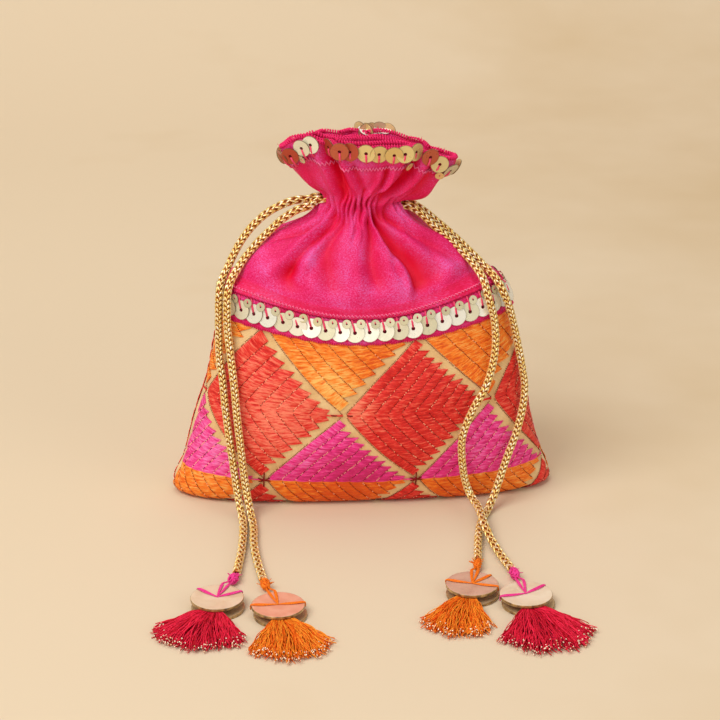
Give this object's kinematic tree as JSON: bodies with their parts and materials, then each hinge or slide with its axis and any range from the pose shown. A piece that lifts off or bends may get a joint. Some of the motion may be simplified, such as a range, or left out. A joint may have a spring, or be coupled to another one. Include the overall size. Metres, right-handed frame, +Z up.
{
  "type": "potli bag",
  "caption": "Drawstring pouch bag with a flat base, an embroidered lower panel, a gathered silk yoke and frill, and tasselled gold drawcords.",
  "frame": {"origin": "on the floor under the middle of the bag's own box, its cord ends and tassels left out", "axes": "+X to the right across the bag as seen from the front, -Y out of the front towards the tassels, +Z up towards the mouth"},
  "size_m": [0.2347, 0.2668, 0.2167],
  "materials": {
    "tan_cotton": "slubbed, matt",
    "lining_cotton": "plain, matt",
    "pink_silk": "slubby silk with a soft sheen",
    "gold_cord": "braided metallic thread",
    "champagne_sequin": "mirror-bright champagne sequins",
    "red_floss": "satin stitch, soft sheen",
    "orange_floss": "satin stitch, soft sheen",
    "magenta_floss": "satin stitch, soft sheen",
    "pink_thread": "loose cotton thread",
    "orange_thread": "loose cotton thread",
    "pearl_disc": "pearly, with a darker edge"
  },
  "bodies": {
    "root": {"body_panel": "tan_cotton", "casing_band": "pink_silk", "floss_magenta_back_1": "magenta_floss", "floss_magenta_back_2": "magenta_floss", "floss_magenta_back_3": "magenta_floss", "floss_magenta_front_1": "magenta_floss", "floss_magenta_front_2": "magenta_floss", "floss_magenta_front_3": "magenta_floss", "floss_orange_back_1": "orange_floss", "floss_orange_back_2": "orange_floss", "floss_orange_back_3": "orange_floss", "floss_orange_back_4": "orange_floss", "floss_orange_back_5": "orange_floss", "floss_orange_back_6": "orange_floss", "floss_orange_front_1": "orange_floss", "floss_orange_front_2": "orange_floss", "floss_orange_front_3": "orange_floss", "floss_orange_front_4": "orange_floss", "floss_orange_front_5": "orange_floss", "floss_orange_front_6": "orange_floss", "floss_red_back_1": "red_floss", "floss_red_back_2": "red_floss", "floss_red_back_3": "red_floss", "floss_red_front_1": "red_floss", "floss_red_front_2": "red_floss", "floss_red_front_3": "red_floss", "hem_trim": "champagne_sequin", "left_cased_cord": "gold_cord", "left_inner_cord": "gold_cord", "left_inner_fringe": "orange_thread", "left_inner_knot": "orange_thread", "left_inner_lower_disc": "pearl_disc", "left_inner_upper_disc": "pearl_disc", "left_outer_cord": "gold_cord", "left_outer_fringe": "pink_thread", "left_outer_knot": "pink_thread", "left_outer_lower_disc": "pearl_disc", "left_outer_upper_disc": "pearl_disc", "lining": "lining_cotton", "mouth_binding": "pink_silk", "mouth_trim": "champagne_sequin", "right_cased_cord": "gold_cord", "right_inner_cord": "gold_cord", "right_inner_fringe": "pink_thread", "right_inner_knot": "pink_thread", "right_inner_lower_disc": "pearl_disc", "right_inner_upper_disc": "pearl_disc", "right_outer_cord": "gold_cord", "right_outer_fringe": "orange_thread", "right_outer_knot": "orange_thread", "right_outer_lower_disc": "pearl_disc", "right_outer_upper_disc": "pearl_disc", "yoke_and_frill": "pink_silk"}
  },
  "joints": []
}
